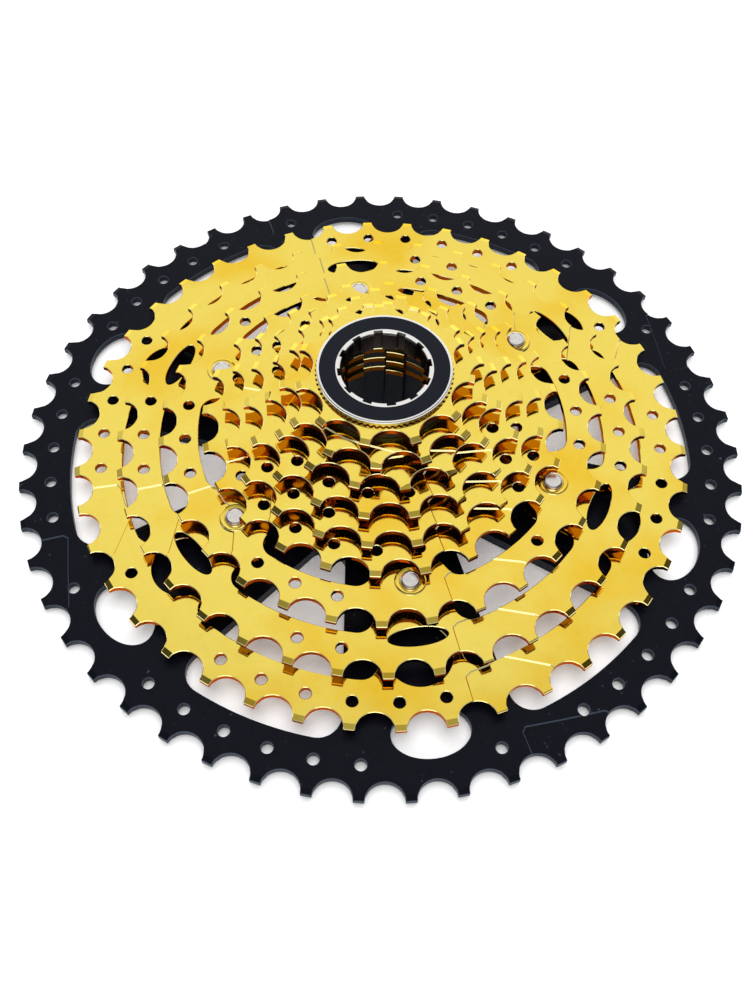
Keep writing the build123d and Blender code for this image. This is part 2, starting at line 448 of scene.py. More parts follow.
def tooth_marks(teeth, first_tip, pin_holes, hole_depth, ramps, outline):
    """Points for pin holes and faces for ramps.

    Pin holes are numbers of teeth. A ramp is the gap it starts in and the teeth it spans. Its outline has
    a share of the ramps' reach inwards and a share of the span for each corner.
    """
    step = 2 * math.pi / teeth
    points = [polar(pitch_radius(teeth) - hole_depth, first_tip + number * step) for number in pin_holes]
    faces = []
    outside, root = pitch_radius(teeth) + tip_rise + 1 * mm, pitch_radius(teeth) - seat_radius
    reach = min(ramp_reach, root - stack_radius)
    for start, span in ramps:
        first, width = first_tip + (start + 0.5) * step, span * step
        inside = [(root - inward * reach, first + along * width) for inward, along in outline]
        corners = [(outside, first), *inside, (outside, first + width)]
        faces.append(range(len(points), len(points) + len(corners)))
        points += [polar(*corner) for corner in corners]
    marks = bpy.data.meshes.new("tooth_marks")
    marks.from_pydata(points, [], [list(face)[::-1] for face in faces])
    return marks


# Outlines of the ramps: (share of the reach, share of the span), from the deep end round to the tips.
steel_ramp = [(0.74, 0.02), (0.84, 0.09), (0.87, 0.31), (1.0, 0.5), (0.1, 0.93), (-0.3, 1.0)]
large_ramp = [(0.66, 0.03), (0.78, 0.08), (0.5, 0.5), (0.1, 0.93), (-0.3, 1.0)]


def both_halves(numbers, teeth):
    """Tooth numbers of half a cog, repeated on the other half."""
    return [*numbers, *(number + teeth // 2 for number in numbers)]


def ramps_on_both_halves(ramps, teeth):
    return [*ramps, *((start + teeth // 2, span) for start, span in ramps)]


def cog_tree(name, openings, sizes):
    """Tree of a whole cog. openings places the lines of its inner cuts, from the named sizes it adds."""
    tree, size = new_tree(
        name, Marks="geometry", **tooth_line_sizes, Bevel_drop="length", Bottom="length",
        Thickness="length", Ramp_depth="length", Pin_hole_radius="length", Finish="material", **sizes,
    )
    lines = join(tree, use_sized(tree, tooth_line, size, tooth_line_sizes), *openings(tree, size))
    plate = use_group(
        tree, cut_plate, lines, size["Marks"], size["Bottom"], size["Thickness"],
        size["Pitch_radius"] + size["Tip_rise"], size["Bevel_run"], size["Bevel_drop"], size["Ramp_depth"],
        size["Pin_hole_radius"],
    )
    plate = add_node(tree, "GeometryNodeRealizeInstances", plate)
    end_tree(tree, with_material(tree, plate, size["Finish"]))
    return tree


def bore_line(tree, size):
    return [use_sized(tree, splined_bore, size, bore_sizes)]


def arm_lines(tree, size):
    return [use_sized(tree, ring_opening, size, arm_sizes)]


def arm_and_eye_lines(tree, size):
    eye = use_sized(tree, oval, size, eye_sizes)
    return [*arm_lines(tree, size), use_group(tree, polar_copies, eye, size["Arms"], 0.0)]


def bore_and_kidney_lines(tree, size):
    return [*bore_line(tree, size), use_sized(tree, kidney_windows, size, kidney_sizes)]


loose_cog = cog_tree("Loose cog", bore_line, bore_sizes)
windowed_cog = cog_tree("Windowed cog", bore_and_kidney_lines, bore_sizes | kidney_sizes)
ring_cog = cog_tree("Ring cog", arm_lines, arm_sizes)
ring_cog_with_eyes = cog_tree("Ring cog with eyes", arm_and_eye_lines, arm_sizes | eye_sizes)
close_corners = 0.18 * mm


def finished_mesh(name, mesh, tree, sizes, edge=0.0, weld=close_corners):
    """Runs a tree on a mesh and leaves a plain mesh.

    Where it has an edge width, corners closer than the weld are joined and the sharp edges broken.
    """
    flat_limit, sharp_limit, smooth_limit = math.radians(0.5), math.radians(35), math.radians(14)
    level_face = 0.98
    piece = bpy.data.objects.new(name, mesh)
    bpy.context.scene.collection.objects.link(piece)
    nodes = piece.modifiers.new("Shape", "NODES")
    nodes.node_group = tree
    for item in tree.interface.items_tree:
        label = item.name.replace(" ", "_")
        if item.in_out == "INPUT" and label in sizes:
            nodes[item.identifier] = sizes[label]
    if edge:
        welded = piece.modifiers.new("Join close corners", "WELD")
        welded.merge_threshold = weld
        flat = piece.modifiers.new("Merge flat faces", "DECIMATE")
        flat.decimate_type, flat.angle_limit = "DISSOLVE", flat_limit
        broken = piece.modifiers.new("Broken edges", "BEVEL")
        broken.width, broken.segments, broken.use_clamp_overlap = edge, 1, False
        broken.limit_method, broken.angle_limit = "ANGLE", sharp_limit
    graph = bpy.context.evaluated_depsgraph_get()
    plain = bpy.data.meshes.new_from_object(piece.evaluated_get(graph), depsgraph=graph)
    plain.name = name
    piece.modifiers.clear()
    piece.data = plain
    for face in plain.polygons:
        face.use_smooth = abs(face.normal.z) < level_face
    plain.set_sharp_from_angle(angle=smooth_limit)
    return piece


def new_shader_group(name, inputs, outputs):
    """A shader group with named number inputs and named outputs."""
    tree = bpy.data.node_groups.new(name, "ShaderNodeTree")
    for label in inputs:
        tree.interface.new_socket(label.replace("_", " "), in_out="INPUT", socket_type="NodeSocketFloat")
    for label, kind in outputs.items():
        tree.interface.new_socket(label.replace("_", " "), in_out="OUTPUT", socket_type=f"NodeSocket{kind}")
    entry = tree.nodes.new("NodeGroupInput")
    exit_node = tree.nodes.new("NodeGroupOutput")
    given = {label: Number(tree, socket) for label, socket in zip(inputs, entry.outputs)}
    wanted = {label: socket for label, socket in zip(outputs, exit_node.inputs)}
    return tree, given, wanted


def object_place(tree):
    return tree.nodes.new("ShaderNodeTexCoord").outputs["Object"]


def noise(tree, place, scale, detail=2.0, roughness=0.5):
    """Soft random pattern from 0 to 1, with scale in features per metre."""
    return Number(tree, add_node(tree, "ShaderNodeTexNoise", place, scale, detail, roughness))


def smooth_step(tree, value, start, end):
    """0 below start and 1 above end, eased between them."""
    kind = "ShaderNodeMapRange"
    return Number(tree, add_node(tree, kind, value, start, end, 0.0, 1.0, interpolation_type="SMOOTHSTEP"))


def blend_colours(tree, share, first, second):
    node = tree.nodes.new("ShaderNodeMix")
    node.data_type = "RGBA"
    for number, value in ((0, share), (6, first), (7, second)):
        give(tree, value, node.inputs[number])
    return node.outputs[2]


def wall_mask_group():
    """Wall is 1 on walls along the axis and less on backs. Edge is 1 on broken edges beside them."""
    tree, _, wanted = new_shader_group("Walls", [], {"Wall": "Float", "Edge": "Float"})
    upward = split_vector(tree, tree.nodes.new("ShaderNodeTexCoord").outputs["Normal"])[2]
    slope, less_on_backs = abs(upward), 0.35
    wall = (1 - smooth_step(tree, upward, 0.25, 0.75)) * (1 - (upward < -0.5) * less_on_backs)
    give(tree, wall, wanted["Wall"])
    give(tree, (slope > 0.5) * (slope < 0.88), wanted["Edge"])
    return tree


def rolled_sheet_group():
    """Surface of rolled and coated sheet: long soft waves and a fine orange peel."""
    tree, given, wanted = new_shader_group(
        "Rolled sheet", ["Wave_height", "Peel_height", "Peel_scale"],
        dict(Normal="Vector", Mottle="Float", Cloud="Float"),
    )
    place = object_place(tree)
    cloud = noise(tree, place, 38.0, 2.0, 0.45)
    wave = noise(tree, place, 120.0, 1.0, 0.4)
    peel = noise(tree, place, given["Peel_scale"], 2.0, 0.5)
    height = wave * given["Wave_height"] + peel * given["Peel_height"]
    bump = tree.nodes.new("ShaderNodeBump")
    bump.inputs["Distance"].default_value = 1.0
    give(tree, height, bump.inputs["Height"])
    give(tree, bump.outputs["Normal"], wanted["Normal"])
    give(tree, noise(tree, place, 420.0, 3.0, 0.6), wanted["Mottle"])
    give(tree, cloud, wanted["Cloud"])
    return tree


walls, rolled_sheet = wall_mask_group(), rolled_sheet_group()


def new_material(name, **constants):
    """A material with its Principled shader's constant values set on the shader itself."""
    material = bpy.data.materials.new(name)
    material.use_nodes = True
    shader = material.node_tree.nodes["Principled BSDF"]
    for label, value in constants.items():
        shader.inputs[label.replace("_", " ")].default_value = value
    return material, material.node_tree, shader


def place_group(tree, group, **values):
    node = tree.nodes.new("ShaderNodeGroup")
    node.node_tree = group
    for label, value in values.items():
        node.inputs[label.replace("_", " ")].default_value = value
    return node


def bore_wall_mask(tree):
    """1 on the walls of the hub bore, which are coloured darker than the other walls."""
    across, along, _ = split_vector(tree, object_place(tree))
    return 1 - smooth_step(tree, (across * across + along * along).sqrt(), 17.6 * mm, 18.6 * mm)


gold, gold_tree, gold_shader = new_material("gold_nitride", Metallic=1.0)
sheet = place_group(gold_tree, rolled_sheet, Wave_height=0.00010, Peel_height=0.000002, Peel_scale=1400.0)
masks = place_group(gold_tree, walls)
wall, edge_highlight = Number(gold_tree, masks.outputs["Wall"]), Number(gold_tree, masks.outputs["Edge"])
cloud, mottle = Number(gold_tree, sheet.outputs["Cloud"]), Number(gold_tree, sheet.outputs["Mottle"])
warm = smooth_step(gold_tree, cloud, 0.45, 0.75) * 0.8 + smooth_step(gold_tree, mottle, 0.4, 0.8) * 0.18
face_gold = blend_colours(gold_tree, warm, (0.91, 0.72, 0.13, 1), (0.89, 0.56, 0.03, 1))
# Walls along the axis are painted a dark red-brown gold: painted shade.
painted_shade_wall_gold, dark_bore_gold, painted_highlight_gold = (0.45, 0.085, 0.005, 1), (0.16, 0.045, 0.006, 1), (0.98, 0.90, 0.45, 1)
# Broken edges are painted a pale gold in this share: a painted highlight.
painted_highlight_share = 0.85
wall_gold = blend_colours(gold_tree, bore_wall_mask(gold_tree), painted_shade_wall_gold, dark_bore_gold)
gold_colour = blend_colours(gold_tree, wall, face_gold, wall_gold)
gold_colour = blend_colours(gold_tree, edge_highlight * painted_highlight_share, gold_colour, painted_highlight_gold)
give(gold_tree, gold_colour, gold_shader.inputs["Base Color"])
give(gold_tree, 0.06 + mottle * 0.07, gold_shader.inputs["Roughness"])
give(gold_tree, sheet.outputs["Normal"], gold_shader.inputs["Normal"])
gold_shader.inputs["Specular Tint"].default_value = (1.0, 0.55, 0.15, 1)

tooth_sizes = dict(
    Seat_radius=seat_radius, Tip_rise=tip_rise, Tip_width=tip_width, Bevel_run=tip_bevel_run,
    Bevel_drop=tip_bevel_drop, Ramp_depth=ramp_depth,
)
pin_hole_radius = 1.55 * mm
large_pin_hole_depth = 7.9 * mm
pin_hole_depth = 6.4 * mm
ring_arms = dict(
    Arms=arm_count, Arm_half_width=11.5 * mm, Rivet_circle=49.3 * mm, Tab_radius=7.2 * mm, Fillet=4 * mm,
)
hub_splines = dict(
    Splines=9, Minor_radius=16.0 * mm, Major_radius=17.3 * mm, Groove_width=6.0 * mm,
    First_groove_width=4.2 * mm,
)
cog_edge = 0.15 * mm


def press_cog(node, body, tree, teeth, first_tip, pin_holes, ramps, weld=close_corners, **sizes):
    """Makes one gold cog in the place of its CAD node. The first tip's azimuth is in degrees."""
    low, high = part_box(node)
    first_tip = math.radians(first_tip)
    marks = tooth_marks(teeth, first_tip, pin_holes, pin_hole_depth, ramps, steel_ramp)
    sizes = tooth_sizes | dict(
        Teeth=teeth, First_tip=first_tip, Pitch_radius=pitch_radius(teeth), Bottom=low.z,
        Thickness=high.z - low.z, Pin_hole_radius=pin_hole_radius, Finish=gold,
    ) | sizes
    cog = finished_mesh(f"cog_{teeth}", marks, tree, sizes, edge=cog_edge, weld=weld)
    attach(cog, body)
    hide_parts(node)


press_cog(
    "sprocket_42", "riveted_cluster", ring_cog_with_eyes, 42, 3.52,
    both_halves([0, 1, 2, 3, 6, 9, 10, 11, 12, 13, 14, 20], 42),
    ramps_on_both_halves([(-7, 2), (-18, 2)], 42), **ring_arms, Rim_radius=72.7 * mm,
    Eye_centre=66.2 * mm, Eye_half_length=8.7 * mm, Eye_half_width=8.6 * mm,
)
press_cog(
    "sprocket_36", "riveted_cluster", ring_cog_with_eyes, 36, 3.0,
    both_halves([1, 2, 3, 9, 10], 36), ramps_on_both_halves([(-6, 2), (-15, 2)], 36),
    **ring_arms, Rim_radius=61.8 * mm,
    Eye_centre=63 * mm, Eye_half_length=2.6 * mm, Eye_half_width=7.8 * mm,
)
press_cog(
    "sprocket_30", "riveted_cluster", ring_cog, 30, 3.6,
    both_halves([1, 2, 3, 6, 7, 8, 13], 30), ramps_on_both_halves([(-5, 2), (-12, 2)], 30),
    **ring_arms, Rim_radius=50.8 * mm,
)
press_cog(
    "sprocket_24", "cog_24", windowed_cog, 24, 4.55,
    both_halves([0, 3, 4, 5, 6, 7, 8, 11], 24), ramps_on_both_halves([(-4, 2), (-10, 2)], 24),
    **hub_splines, Arms=arm_count, Window_inner_radius=26 * mm, Window_outer_radius=37 * mm,
    Spoke_width=7 * mm, Fillet=2 * mm,
)
press_cog(
    "sprocket_21", "cog_21", loose_cog, 21, 12.05, [0, 8, 9, 13, 14, 15, 20], [(-4, 2), (3, 2), (10, 2)],
    weld=0.12 * mm, **hub_splines,
)
press_cog(
    "sprocket_18", "cog_18", loose_cog, 18, 4.1, both_halves([0, 3, 4, 5, 6], 18),
    ramps_on_both_halves([(-3, 2)], 18), **hub_splines,
)
press_cog("sprocket_15", "cog_15", loose_cog, 15, 13.8, [], [(1, 2), (6, 2), (11, 2)], **hub_splines)
press_cog("sprocket_13", "cog_13", loose_cog, 13, 10.5, [], [(2, 2), (8, 2)], **hub_splines)
press_cog("sprocket_11", "cog_11", loose_cog, 11, 17.4, [], [], **hub_splines)

# ---------------------------------------------------------------------------------------------------
# Large cog. Rim, six-armed spider and hub boss are one piece of forged aluminium, machined and anodised
# black. The arms stand back from the rim, and the boss carries the small cogs' splines and stack.
# ---------------------------------------------------------------------------------------------------
black, black_tree, black_shader = new_material("black_anodised", Specular_IOR_Level=0.07, Roughness=0.3)
blasted = place_group(
    black_tree, rolled_sheet, Wave_height=0.000004, Peel_height=0.000004, Peel_scale=2600.0
)
mottle = Number(black_tree, blasted.outputs["Mottle"])
speck = smooth_step(black_tree, noise(black_tree, object_place(black_tree), 900.0, 0.0), 0.74, 0.80)
dust = speck * smooth_step(black_tree, mottle, 0.5, 0.7)
dust_colour, painted_sheen_colour = (0.05, 0.055, 0.07, 1), (0.14, 0.19, 0.27, 1)
anodised = blend_colours(black_tree, mottle, (0.0030, 0.0034, 0.0062, 1), (0.0060, 0.0068, 0.0115, 1))
dusty = blend_colours(black_tree, dust, anodised, dust_colour)
masks = place_group(black_tree, walls)
# Broken edges, and a little the walls, are painted a lighter grey-blue: a painted sheen.
edge_sheen_and_steel_surface = Number(black_tree, masks.outputs["Edge"]) * 0.35 + Number(black_tree, masks.outputs["Wall"]) * 0.12
give(black_tree, blend_colours(black_tree, edge_sheen_and_steel_surface, dusty, painted_sheen_colour), black_shader.inputs["Base Color"])
give(black_tree, blasted.outputs["Normal"], black_shader.inputs["Normal"])

window_sizes = dict(
    Window_inner_radius="length", Window_outer_radius="length", Inner_half_width="length",
    Outer_half_width="length", Inner_fillet="length", Outer_fillet="length",
)


def spider_window_tree():
    """Window between two arms, along X: an arc under the rim and sides that close to the hub."""
    tree, size = new_tree("Spider window", **window_sizes)
    index, arc_points, fillet_steps = index_number(tree), 16, 8
    inner, outer = size["Window_inner_radius"], size["Window_outer_radius"]
    half_turn = (size["Outer_half_width"] / outer).arcsine()
    corner_turn = size["Outer_fillet"] / outer
    share = (index - 1) / (arc_points - 3) * 2 - 1
    turn_on_arc = share * (half_turn - corner_turn)
    at_corner = (index < 0.5) + (index > arc_points - 1.5)
    turn = turn_on_arc * (1 - at_corner) + half_turn * share.sign() * at_corner
    on_arc = index < arc_points - 0.5
    side = (index < arc_points + 0.5) * 2 - 1
    x = outer * turn.cosine() * on_arc + inner * (1 - on_arc)
    y = outer * turn.sine() * on_arc + size["Inner_half_width"] * side * (1 - on_arc)
    line = closed_line(tree, arc_points + 2, x, y)
    fillet = size["Outer_fillet"] * at_corner * on_arc + size["Inner_fillet"] * (1 - on_arc)
    end_tree(tree, rounded_line(tree, line, fillet_steps, fillet))
    return tree


def large_cog_tree():
    """Rim and spider cut from one plate, with the rim's back cut away and the hub boss on the outer face."""
    tree, size = new_tree(
        "Large cog", Marks="geometry", **tooth_line_sizes, Bevel_drop="length", Thickness="length",
        Ramp_depth="length", Pin_hole_radius="length", Finish="material", Rim_thickness="length",
        Spider_radius="length", Boss_radius="length", Boss_height="length", **bore_sizes, **eye_sizes,
        Arms="whole", **window_sizes,
    )
    tip, round_sides = size["Pitch_radius"] + size["Tip_rise"], 128
    teeth = use_sized(tree, tooth_line, size, tooth_line_sizes)
    window = use_sized(tree, spider_window_tree(), size, window_sizes)
    windows = use_group(tree, polar_copies, window, size["Arms"], math.pi / size["Arms"])
    eye = use_sized(tree, oval, size, eye_sizes)
    eyes = use_group(tree, polar_copies, eye, size["Arms"], 0.0)
    bore = bore_line(tree, size)[0]
    plate = use_group(
        tree, cut_plate, join(tree, teeth, windows, eyes, bore), size["Marks"], 0.0, size["Thickness"], tip,
        size["Bevel_run"], size["Bevel_drop"], size["Ramp_depth"], size["Pin_hole_radius"],
    )
    boss_line = circle_line(tree, round_sides, size["Boss_radius"])
    boss = use_group(tree, plain_plate, join(tree, boss_line, bore), 0.0, size["Boss_height"])
    outside = circle_line(tree, round_sides, tip * 1.2)
    inside = circle_line(tree, round_sides, size["Spider_radius"])
    behind_rim = size["Thickness"] - size["Rim_thickness"]
    step = use_group(tree, plain_plate, join(tree, outside, inside), behind_rim * -1, behind_rim * 2)
    body = combine(tree, "DIFFERENCE", combine(tree, "UNION", plate, boss), step)
    body = add_node(tree, "GeometryNodeRealizeInstances", body)
    end_tree(tree, with_material(tree, body, size["Finish"]))
    return tree


large_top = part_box("sprocket_50")[1].z
large_teeth, large_first_tip = 50, math.radians(0.66)
large_marks = tooth_marks(
    large_teeth, large_first_tip,
    both_halves([1, 2, 3, 4, 5, 7, 10, 11, 12, 13, 14, 15, 18, 20, 21, 22, 23, 24], large_teeth),
    large_pin_hole_depth, ramps_on_both_halves([(-7, 2), (-20, 2)], large_teeth), large_ramp,
)
large_cog = finished_mesh(
    "cog_50", large_marks, large_cog_tree(), tooth_sizes | hub_splines | dict(
        Teeth=large_teeth, First_tip=large_first_tip, Pitch_radius=pitch_radius(large_teeth),
        Thickness=3.4 * mm, Pin_hole_radius=pin_hole_radius, Finish=black, Rim_thickness=2.2 * mm,
        Spider_radius=79 * mm, Boss_radius=20.5 * mm, Boss_height=large_top, Arms=arm_count,
        Eye_centre=85.4 * mm, Eye_half_length=6.8 * mm, Eye_half_width=10.1 * mm,
        Window_inner_radius=36.5 * mm,
        Window_outer_radius=pitch_radius(large_teeth) - seat_radius - 9.5 * mm,
        Inner_half_width=4 * mm, Outer_half_width=23.2 * mm, Inner_fillet=3 * mm, Outer_fillet=7 * mm,
    ), edge=0.13 * mm,
)
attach(large_cog, "riveted_cluster")
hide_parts("sprocket_50")

# ---------------------------------------------------------------------------------------------------
# Pads and rivets. Six aluminium pads space each pair of riveted cogs, and a steel rivet goes through
# each stack of pads. Its flat head sits in a dimple that is pressed into the arm's end.
# ---------------------------------------------------------------------------------------------------
def turned_mesh(name, profile, sides):
    """Closed solid turned about Z from a closed profile of (radius, height) corners."""
    points, faces = [], []
    count = len(profile)
    for side in range(sides):
        turn = 2 * math.pi * side / sides
        points += [(radius * math.cos(turn), radius * math.sin(turn), height) for radius, height in profile]
        here, there = side * count, (side + 1) % sides * count
        for corner in range(count):
            after = (corner + 1) % count
            if max(profile[corner][0], profile[after][0]) > 0:
                faces.append((here + corner, there + corner, there + after, here + after))
    shape = bmesh.new()
    corners = [shape.verts.new(point) for point in points]
    for face in faces:
        shape.faces.new([corners[corner] for corner in face])
    same_corner = 1e-7
    bmesh.ops.remove_doubles(shape, verts=shape.verts, dist=same_corner)
    bmesh.ops.recalc_face_normals(shape, faces=shape.faces)
    mesh = bpy.data.meshes.new(name)
    shape.to_mesh(mesh)
    shape.free()
    return mesh


def arm_pieces_tree():
    """The same small piece on each arm."""
    tree, size = new_tree(
        "Pieces on the arms", Piece="geometry", Radius="length", Arms="whole", Finish="material"
    )
    moved = add_node(tree, "GeometryNodeTransform", size["Piece"], vector(tree, size["Radius"], 0.0))
    copies = use_group(tree, polar_copies, moved, size["Arms"], 0.0)
    end_tree(tree, with_material(tree, copies, size["Finish"]))
    return tree


arm_pieces = arm_pieces_tree()
rivet_circle = ring_arms["Rivet_circle"]
bright_steel, steel_tree, steel_shader = new_material("bright_steel", Metallic=1.0, Roughness=0.24)
stain = noise(steel_tree, object_place(steel_tree), 900.0, 3.0, 0.6)
steel_colour = blend_colours(steel_tree, stain, (0.55, 0.52, 0.50, 1), (0.86, 0.83, 0.80, 1))
give(steel_tree, steel_colour, steel_shader.inputs["Base Color"])
edge_sheen_and_steel_surface = place_group(steel_tree, rolled_sheet, Wave_height=0.00001, Peel_height=0.000004, Peel_scale=1400.0)
give(steel_tree, edge_sheen_and_steel_surface.outputs["Normal"], steel_shader.inputs["Normal"])

for node in ("pads_50_42", "pads_42_36", "pads_36_30"):
    low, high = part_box(node)
    pad_radius, chamfer, pad_sides = high.x - rivet_circle, 0.25 * mm, 40
    pad = turned_mesh(node, [
        (0, low.z), (pad_radius - chamfer, low.z), (pad_radius, low.z + chamfer),
        (pad_radius, high.z - chamfer), (pad_radius - chamfer, high.z), (0, high.z),
    ], pad_sides)
    pads = finished_mesh(
        f"{node}_turned", pad, arm_pieces, dict(Radius=rivet_circle, Arms=arm_count, Finish=black)
    )
    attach(pads, "riveted_cluster")
    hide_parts(node)

low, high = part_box("rivets")
head_radius, head_sides = 2.65 * mm, 48
shoulder, rolled_rim, dished_face = low.z + 0.55 * mm, low.z + 0.95 * mm, low.z + 0.85 * mm
head = turned_mesh("rivet", [
    (0, low.z), (head_radius, low.z), (head_radius, shoulder), (head_radius - 0.12 * mm, low.z + 0.8 * mm),
    (head_radius - 0.5 * mm, rolled_rim), (head_radius - 0.62 * mm, dished_face), (0, dished_face),
], head_sides)
rivets = finished_mesh(
    "rivet_heads", head, arm_pieces, dict(Radius=rivet_circle, Arms=arm_count, Finish=bright_steel)
)
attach(rivets, "riveted_cluster")
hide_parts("rivets")

rim, arm_face, collar, collar_top = 4.15 * mm, low.z, head_radius + 0.02 * mm, low.z + 0.28 * mm
dimple = turned_mesh("dimple", [
    (collar, arm_face), (rim, arm_face), (rim - 0.1 * mm, arm_face + 0.14 * mm),
    (rim - 0.35 * mm, arm_face + 0.22 * mm), (rim - 0.6 * mm, arm_face + 0.14 * mm),
    (head_radius + 0.3 * mm, arm_face + 0.06 * mm), (head_radius + 0.15 * mm, collar_top),
    (collar, collar_top),
], head_sides)
dimples = finished_mesh(
    "dimples", dimple, arm_pieces, dict(Radius=rivet_circle, Arms=arm_count, Finish=gold)
)
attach(dimples, "riveted_cluster")

# ---------------------------------------------------------------------------------------------------
# Spacers. Moulded black plastic rings keep the loose cogs apart on the splines. Each one comes off with
# the cog above it.
# ---------------------------------------------------------------------------------------------------
black_plastic, plastic_tree, plastic_shader = new_material(
    "black_plastic", Roughness=0.5, Specular_IOR_Level=0.3
)
grain = noise(plastic_tree, object_place(plastic_tree), 700.0, 2.0)
plastic_colour = blend_colours(plastic_tree, grain, (0.006, 0.006, 0.007, 1), (0.016, 0.016, 0.017, 1))
give(plastic_tree, plastic_colour, plastic_shader.inputs["Base Color"])

spacer_bore = hub_splines["Major_radius"] + 0.2 * mm
for above, node in (
    ("cog_21", "spacer_24_21"), ("cog_18", "spacer_21_18"), ("cog_15", "spacer_18_15"),
    ("cog_13", "spacer_15_13"), ("cog_11", "spacer_13_11"),
):
    low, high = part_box(node)
    outer, chamfer, spacer_sides = high.x, 0.2 * mm, 96
    ring = turned_mesh(node, [
        (spacer_bore, low.z), (outer - chamfer, low.z), (outer, low.z + chamfer), (outer, high.z - chamfer),
        (outer - chamfer, high.z), (spacer_bore, high.z),
    ], spacer_sides)
    ring.materials.append(black_plastic)
    spacer = bpy.data.objects.new(f"{node}_moulded", ring)
    bpy.context.scene.collection.objects.link(spacer)
    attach(spacer, above)
    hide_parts(node)

# ---------------------------------------------------------------------------------------------------
# Lock ring and its serrated washer. The ring is turned from steel: a threaded sleeve and a thin flange
# with a blackened face, and twelve notches in the bore for the tool.
# ---------------------------------------------------------------------------------------------------
def serrated_washer_tree():
    """Thin washer whose edge has fine teeth, with four points of the line on each."""
    tree, size = new_tree(
        "Serrated washer", Serrations="whole", Inner_radius="length", Outer_radius="length", Depth="length",
        Bottom="length", Thickness="length", Finish="material",
    )
    index, points, bore_sides = index_number(tree), 4, 96
    radius = size["Outer_radius"] - size["Depth"] * (index % points > 1.5)
    angle = index * (2 * math.pi / points) / size["Serrations"]
    edge = closed_line(tree, size["Serrations"] * points, radius * angle.cosine(), radius * angle.sine())
    bore = circle_line(tree, bore_sides, size["Inner_radius"])
    washer = use_group(tree, plain_plate, join(tree, edge, bore), size["Bottom"], size["Thickness"])
    end_tree(tree, with_material(tree, washer, size["Finish"]))
    return tree


def notched_ring_tree():
    """Turned ring with notches for a splined tool cut out of its bore."""
    tree, size = new_tree(
        "Notched ring", Ring="geometry", Notches="whole", Reach="length", Width="length", Height="length",
        Finish="material",
    )
    block_size = vector(tree, size["Reach"] * 0.4, size["Width"], size["Height"] * 2)
    block_place = vector(tree, size["Reach"] * 0.8, 0.0, size["Height"])
    block = add_node(tree, "GeometryNodeMeshCube", block_size)
    block = add_node(tree, "GeometryNodeTransform", block, block_place)
    blocks = use_group(tree, polar_copies, block, size["Notches"], 0.0)
    body = combine(tree, "DIFFERENCE", size["Ring"], blocks)
    end_tree(tree, with_material(tree, body, size["Finish"]))
    return tree


low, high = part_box("lockring_washer")
washer = finished_mesh("washer", bpy.data.meshes.new("washer"), serrated_washer_tree(), dict(
    Serrations=72, Inner_radius=15.5 * mm, Outer_radius=high.x, Depth=0.38 * mm, Bottom=low.z,
    Thickness=high.z - low.z, Finish=gold,
))
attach(washer, "washer")
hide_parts("lockring_washer")

ring_finish, ring_tree, ring_shader = new_material(
    "lock_ring_steel", Roughness=0.26, Specular_IOR_Level=0.15
)
across, along, height = split_vector(ring_tree, object_place(ring_tree))
from_axis = (across * across + along * along).sqrt()
low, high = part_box("lockring")
face_inner, face_outer = 12.75 * mm, 17.02 * mm
blackened = (from_axis > face_inner) * (from_axis < face_outer) * (height > high.z - 0.3 * mm)
give(ring_tree, 1 - blackened, ring_shader.inputs["Metallic"])
# Inside the sleeve, below the top millimetre, the steel is painted a dark brown-grey: painted shade.
in_sleeve = (height < high.z - 1.0 * mm) * (from_axis < face_outer - 2.0 * mm)
painted_shade_steel, black_oxide = (0.13, 0.10, 0.085, 1), (0.0035, 0.0050, 0.0105, 1)
turning = noise(ring_tree, object_place(ring_tree), 1500.0, 2.0)
ring_colour = blend_colours(ring_tree, turning, (0.80, 0.78, 0.75, 1), (0.92, 0.90, 0.87, 1))
ring_colour = blend_colours(ring_tree, in_sleeve, ring_colour, painted_shade_steel)
ring_colour = blend_colours(ring_tree, blackened, ring_colour, black_oxide)
give(ring_tree, ring_colour, ring_shader.inputs["Base Color"])
flange_bottom, flange_radius, sleeve_radius, ring_bore = high.z - 1.15 * mm, high.x, 15.2 * mm, 11.55 * mm
thread_chamfer, flange_chamfer, bore_chamfer, ring_sides = 0.5 * mm, 0.1 * mm, 0.12 * mm, 144
lock_ring_shape = turned_mesh("lock_ring", [
    (ring_bore, low.z), (sleeve_radius - thread_chamfer, low.z), (sleeve_radius, low.z + thread_chamfer),
    (sleeve_radius, flange_bottom), (flange_radius - flange_chamfer, flange_bottom),
    (flange_radius, flange_bottom + flange_chamfer), (flange_radius, high.z - 0.35 * mm),
    (flange_radius - 0.12 * mm, high.z - 0.1 * mm), (flange_radius - 0.35 * mm, high.z),
    (face_outer, high.z), (face_inner, high.z), (ring_bore + bore_chamfer, high.z),
    (ring_bore, high.z - bore_chamfer),
], ring_sides)
lock_ring = finished_mesh("lock_ring", lock_ring_shape, notched_ring_tree(), dict(
    Notches=12, Reach=12.35 * mm, Width=2.4 * mm, Height=high.z, Finish=ring_finish,
))
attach(lock_ring, "lockring")
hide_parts("lockring")

# ---------------------------------------------------------------------------------------------------
# Camera, floor and light. The camera looks down on the outer side from the front. The floor is white
# paper, and the sky is a studio that lights the object and shows in its metal.
# ---------------------------------------------------------------------------------------------------
camera_data = bpy.data.cameras.new("camera")
camera_data.sensor_fit = "AUTO"
camera_data.sensor_width = 36
camera_data.lens = 41.78
camera = bpy.data.objects.new("camera", camera_data)
bpy.context.scene.collection.objects.link(camera)
bpy.context.scene.camera = camera

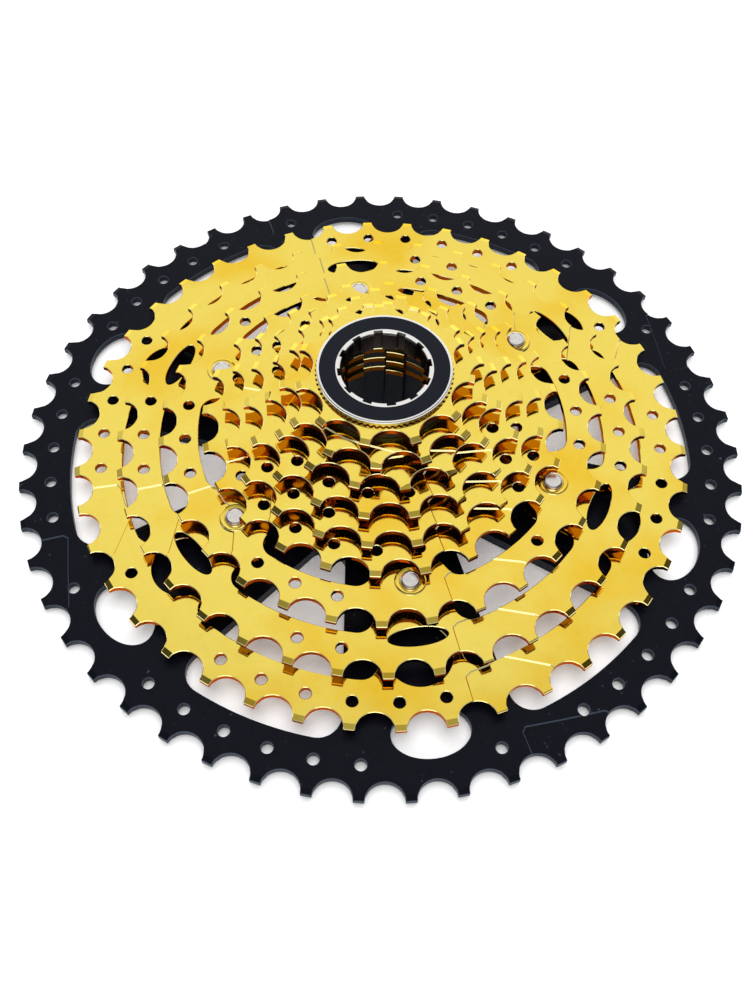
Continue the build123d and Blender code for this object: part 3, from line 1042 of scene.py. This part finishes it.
turn, elevation, roll = math.radians(20.6), math.radians(58.085), math.radians(1.613)
distance, shift_right, shift_up, aim_height = 0.3312, -0.001944, -0.014615, 0.0034
outward = Vector((0, -math.cos(elevation), math.sin(elevation)))
level = Vector((1, 0, 0))
upward = Vector((0, math.sin(elevation), math.cos(elevation)))
right = level * math.cos(roll) + upward * math.sin(roll)
up = -level * math.sin(roll) + upward * math.cos(roll)
spot = outward * distance + right * shift_right + up * shift_up
view = Matrix((
    (right.x, up.x, outward.x, spot.x),
    (right.y, up.y, outward.y, spot.y),
    (right.z, up.z, outward.z, spot.z + aim_height),
    (0, 0, 0, 1),
))
camera.matrix_world = Matrix.Rotation(turn, 4, "Z") @ view

floor_reach = 3
floor_corners = [(-1, -1), (1, -1), (1, 1), (-1, 1)]
floor_mesh = bpy.data.meshes.new("floor")
floor_mesh.from_pydata([(x * floor_reach, y * floor_reach, 0) for x, y in floor_corners], [], [(0, 1, 2, 3)])
floor = bpy.data.objects.new("floor", floor_mesh)
bpy.context.scene.collection.objects.link(floor)
floor_finish, floor_tree, floor_shader = new_material("floor", Roughness=0.8, Specular_IOR_Level=0.1)
paper = noise(floor_tree, object_place(floor_tree), 300.0, 2.0)
paper_colour = blend_colours(floor_tree, paper, (0.93, 0.93, 0.935, 1), (0.96, 0.96, 0.965, 1))
give(floor_tree, paper_colour, floor_shader.inputs["Base Color"])
rays = floor_tree.nodes.new("ShaderNodeLightPath")
seen = Number(floor_tree, rays.outputs["Is Camera Ray"]) + Number(floor_tree, rays.outputs["Is Glossy Ray"])
paper_glow = 0.2
floor_shader.inputs["Emission Color"].default_value = (1, 1, 1, 1)
give(floor_tree, seen * paper_glow, floor_shader.inputs["Emission Strength"])
floor_mesh.materials.append(floor_finish)
floor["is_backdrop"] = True

# A broad soft light hangs beyond the object and above it. The side of the camera is dim, so that walls and
# bevels turn dark beside the bright faces, with a bright strip and a band round the horizon for the edges.
world = bpy.data.worlds.new("studio")
world.use_nodes = True
sky_tree = world.node_tree
ray = sky_tree.nodes.new("ShaderNodeTexCoord").outputs["Generated"]


def towards(azimuth, height):
    """How well a ray of the sky points to an azimuth and height, up to 1."""
    level = math.cos(height)
    aim = sky_tree.nodes.new("ShaderNodeVectorMath")
    aim.operation = "DOT_PRODUCT"
    aim.inputs[1].default_value = (level * math.cos(azimuth), level * math.sin(azimuth), math.sin(height))
    sky_tree.links.new(ray, aim.inputs[0])
    return Number(sky_tree, aim.outputs["Value"])


beyond = turn + math.pi / 2
panel = smooth_step(sky_tree, towards(beyond, math.radians(38)), 0.60, 0.93)
above = smooth_step(sky_tree, towards(beyond, math.radians(103)), 0.86, 1.0)
strip = smooth_step(sky_tree, towards(beyond, math.radians(150)), 0.84, 0.94)
band = 1 - smooth_step(sky_tree, towards(0.0, math.pi / 2), 0.4, 0.7)
seen = Number(sky_tree, sky_tree.nodes.new("ShaderNodeLightPath").outputs["Is Camera Ray"])
sky = sky_tree.nodes["Background"]
sky.inputs["Color"].default_value = (1, 1, 1, 1)
glow = 0.06 + panel * 0.92 + above * 0.38 + strip * 1.2 + band * 0.4
give(sky_tree, glow * (1 - seen) + seen, sky.inputs["Strength"])
bpy.context.scene.world = world
bpy.context.scene.view_settings.view_transform = "Standard"

key = bpy.data.lights.new("key", "AREA")
key.energy, key.size = 6, 0.8
key_lamp = bpy.data.objects.new("key", key)
key_lamp.location = (0.0, 0.0, 0.9)
key_lamp.visible_glossy = False
bpy.context.scene.collection.objects.link(key_lamp)
key_lamp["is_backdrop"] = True

low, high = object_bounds()
